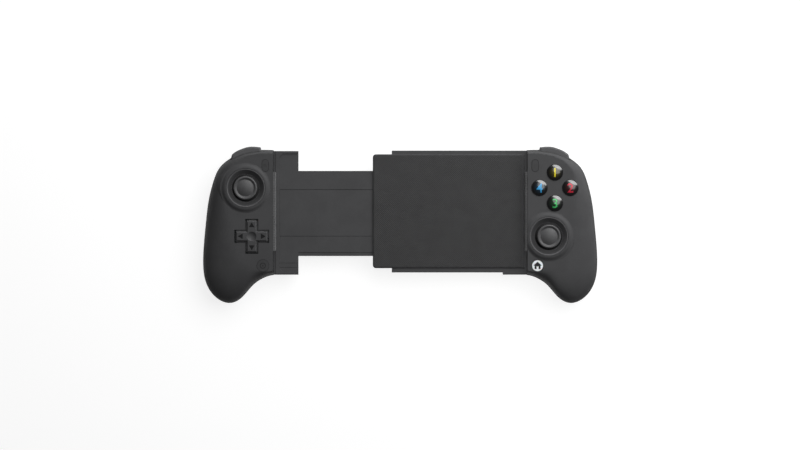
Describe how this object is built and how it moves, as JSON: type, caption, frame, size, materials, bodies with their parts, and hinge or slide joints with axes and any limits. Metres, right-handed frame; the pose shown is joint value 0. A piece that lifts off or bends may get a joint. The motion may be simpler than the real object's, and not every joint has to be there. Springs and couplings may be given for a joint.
{
  "type": "telescopic telephone game controller",
  "caption": "Matt black game controller that clamps a telephone between two handles joined by a sliding bridge, with thumbsticks, a direction pad and domed buttons.",
  "frame": {"origin": "under the middle of the drawn-out controller's bounding box, on the surface that it lies on", "axes": "+X from the direction pad's grip to the face buttons' grip, +Y towards the bumpers, +Z out of the face"},
  "size_m": [0.266, 0.1054, 0.0383],
  "materials": {
    "front_housing": "fine matt",
    "back_housing": "laser-grained grip texture",
    "bridge_plastic": "fine matt",
    "telephone_plate": "matt",
    "telephone_rubber": "woven grain",
    "clamp_rubber": "fine ribs",
    "stick_ring": "satin",
    "stick_rubber": "soft satin",
    "stick_dome": "polished",
    "stick_mechanism": "satin",
    "face_button": "high gloss",
    "control_plastic": "satin",
    "home_white": "translucent white",
    "shoulder_plastic": "satin",
    "back_button_plastic": "satin",
    "screw_steel": "black zinc",
    "pin_steel": "bright",
    "circuit_board": "solder mask",
    "membrane_rubber": "soft",
    "post_plastic": "satin",
    "socket_metal": "satin",
    "battery_film": "film"
  },
  "bodies": {
    "right_half": {"right_front_shell": "front_housing", "right_back_shell": "back_housing", "right_shell_screws": "screw_steel", "right_clamp_pad": "clamp_rubber", "right_circuit_board": "circuit_board", "right_stick_module": "stick_mechanism", "right_stick_ring": "stick_ring", "right_trigger_pin": "pin_steel", "face_button_membrane": "membrane_rubber", "bridge_frame": "bridge_plastic", "bridge_screws": "screw_steel", "phone_plate": "telephone_plate", "phone_pad": "telephone_rubber", "usb_c_socket": "socket_metal", "return_springs": "pin_steel"},
    "left_half": {"left_front_shell": "front_housing", "left_back_shell": "back_housing", "left_shell_screws": "screw_steel", "left_clamp_pad": "clamp_rubber", "left_circuit_board": "circuit_board", "left_stick_module": "stick_mechanism", "left_stick_ring": "stick_ring", "left_trigger_pin": "pin_steel", "direction_pad_membrane": "membrane_rubber", "direction_pad_post": "post_plastic", "slide_plate": "bridge_plastic", "slide_cover": "bridge_plastic", "battery": "battery_film"},
    "right_yoke": {"right_stick_yoke": "stick_mechanism"},
    "right_stem": {"right_stick_stem": "stick_dome"},
    "right_cap": {"right_stick_cap": "stick_rubber"},
    "right_bumper_arm": {"right_bumper": "shoulder_plastic"},
    "right_trigger_arm": {"right_trigger": "shoulder_plastic"},
    "right_back_key": {"right_back_button": "back_button_plastic"},
    "left_yoke": {"left_stick_yoke": "stick_mechanism"},
    "left_stem": {"left_stick_stem": "stick_dome"},
    "left_cap": {"left_stick_cap": "stick_rubber"},
    "left_bumper_arm": {"left_bumper": "shoulder_plastic"},
    "left_trigger_arm": {"left_trigger": "shoulder_plastic"},
    "left_back_key": {"left_back_button": "back_button_plastic"},
    "top_face_key": {"top_face_button": "face_button"},
    "right_face_key": {"right_face_button": "face_button"},
    "bottom_face_key": {"bottom_face_button": "face_button"},
    "left_face_key": {"left_face_button": "face_button"},
    "menu_key": {"menu_button": "control_plastic"},
    "home_key": {"home_button": "home_white"},
    "view_key": {"view_button": "control_plastic"},
    "profile_key": {"profile_button": "control_plastic"},
    "direction_ball": {"direction_pad_ball": "pin_steel"},
    "direction_cross": {"direction_pad": "control_plastic"}
  },
  "joints": [
    {"name": "bridge_slide", "type": "slide", "parent": "right_half", "child": "left_half", "axis": [1, 0, 0], "range_m": [0, 0.062], "deforming": ["return_springs"]},
    {"name": "right_stick_up_down", "type": "hinge", "parent": "right_half", "child": "right_yoke", "pos_m": [0.0998, -0.008, 0.019], "axis": [1, 0, 0], "range_deg": [-14, 14], "stiffness_Nm_per_rad": 0.04},
    {"name": "right_stick_left_right", "type": "hinge", "parent": "right_yoke", "child": "right_stem", "pos_m": [0.0998, -0.008, 0.019], "axis": [0, 1, 0], "range_deg": [-14, 14], "stiffness_Nm_per_rad": 0.04},
    {"name": "right_stick_click", "type": "slide", "parent": "right_stem", "child": "right_cap", "axis": [0, 0, -1], "range_m": [0, 0.0004], "stiffness_N_per_m": 1500, "springref_m": -0.0006},
    {"name": "right_bumper_press", "type": "hinge", "parent": "right_half", "child": "right_bumper_arm", "pos_m": [0.0956, 0.0443, 0.0235], "axis": [0, 0, -1], "range_deg": [0, 3], "stiffness_Nm_per_rad": 0.3, "springref_deg": -2.86},
    {"name": "right_trigger_pull", "type": "hinge", "parent": "right_half", "child": "right_trigger_arm", "pos_m": [0.10325, 0.043, 0.016], "axis": [-1, 0, 0], "range_deg": [0, 15], "stiffness_Nm_per_rad": 0.05, "springref_deg": -8.59},
    {"name": "right_back_button_press", "type": "slide", "parent": "right_half", "child": "right_back_key", "axis": [0, 0, 1], "range_m": [0, 0.0006], "stiffness_N_per_m": 1200, "springref_m": -0.0006},
    {"name": "left_stick_up_down", "type": "hinge", "parent": "left_half", "child": "left_yoke", "pos_m": [-0.1039, 0.0245, 0.019], "axis": [1, 0, 0], "range_deg": [-14, 14], "stiffness_Nm_per_rad": 0.04},
    {"name": "left_stick_left_right", "type": "hinge", "parent": "left_yoke", "child": "left_stem", "pos_m": [-0.1039, 0.0245, 0.019], "axis": [0, 1, 0], "range_deg": [-14, 14], "stiffness_Nm_per_rad": 0.04},
    {"name": "left_stick_click", "type": "slide", "parent": "left_stem", "child": "left_cap", "axis": [0, 0, -1], "range_m": [0, 0.0004], "stiffness_N_per_m": 1500, "springref_m": -0.0006},
    {"name": "left_bumper_press", "type": "hinge", "parent": "left_half", "child": "left_bumper_arm", "pos_m": [-0.0956, 0.0443, 0.0235], "axis": [0, 0, 1], "range_deg": [0, 3], "stiffness_Nm_per_rad": 0.3, "springref_deg": -2.86},
    {"name": "left_trigger_pull", "type": "hinge", "parent": "left_half", "child": "left_trigger_arm", "pos_m": [-0.10325, 0.043, 0.016], "axis": [-1, 0, 0], "range_deg": [0, 15], "stiffness_Nm_per_rad": 0.05, "springref_deg": -8.59},
    {"name": "left_back_button_press", "type": "slide", "parent": "left_half", "child": "left_back_key", "axis": [0, 0, 1], "range_m": [0, 0.0006], "stiffness_N_per_m": 1200, "springref_m": -0.0006},
    {"name": "top_face_button_press", "type": "slide", "parent": "right_half", "child": "top_face_key", "axis": [0, 0, -1], "range_m": [0, 0.0014], "stiffness_N_per_m": 400, "springref_m": -0.001, "deforming": ["face_button_membrane"]},
    {"name": "right_face_button_press", "type": "slide", "parent": "right_half", "child": "right_face_key", "axis": [0, 0, -1], "range_m": [0, 0.0014], "stiffness_N_per_m": 400, "springref_m": -0.001, "deforming": ["face_button_membrane"]},
    {"name": "bottom_face_button_press", "type": "slide", "parent": "right_half", "child": "bottom_face_key", "axis": [0, 0, -1], "range_m": [0, 0.0014], "stiffness_N_per_m": 400, "springref_m": -0.001, "deforming": ["face_button_membrane"]},
    {"name": "left_face_button_press", "type": "slide", "parent": "right_half", "child": "left_face_key", "axis": [0, 0, -1], "range_m": [0, 0.0014], "stiffness_N_per_m": 400, "springref_m": -0.001, "deforming": ["face_button_membrane"]},
    {"name": "menu_button_press", "type": "slide", "parent": "right_half", "child": "menu_key", "axis": [0, 0, -1], "range_m": [0, 0.0005], "stiffness_N_per_m": 1000, "springref_m": -0.0006},
    {"name": "home_button_press", "type": "slide", "parent": "right_half", "child": "home_key", "axis": [0, 0, -1], "range_m": [0, 0.0005], "stiffness_N_per_m": 1000, "springref_m": -0.0006},
    {"name": "view_button_press", "type": "slide", "parent": "left_half", "child": "view_key", "axis": [0, 0, -1], "range_m": [0, 0.0005], "stiffness_N_per_m": 1000, "springref_m": -0.0006},
    {"name": "profile_button_press", "type": "slide", "parent": "left_half", "child": "profile_key", "axis": [0, 0, -1], "range_m": [0, 0.0005], "stiffness_N_per_m": 1000, "springref_m": -0.0006},
    {"name": "direction_pad_up_down", "type": "hinge", "parent": "left_half", "child": "direction_ball", "pos_m": [-0.0998, -0.008, 0.0253], "axis": [1, 0, 0], "range_deg": [-5, 5], "stiffness_Nm_per_rad": 0.05, "deforming": ["direction_pad_membrane"]},
    {"name": "direction_pad_left_right", "type": "hinge", "parent": "direction_ball", "child": "direction_cross", "pos_m": [-0.0998, -0.008, 0.0253], "axis": [0, 1, 0], "range_deg": [-5, 5], "stiffness_Nm_per_rad": 0.05, "deforming": ["direction_pad_membrane"]}
  ]
}
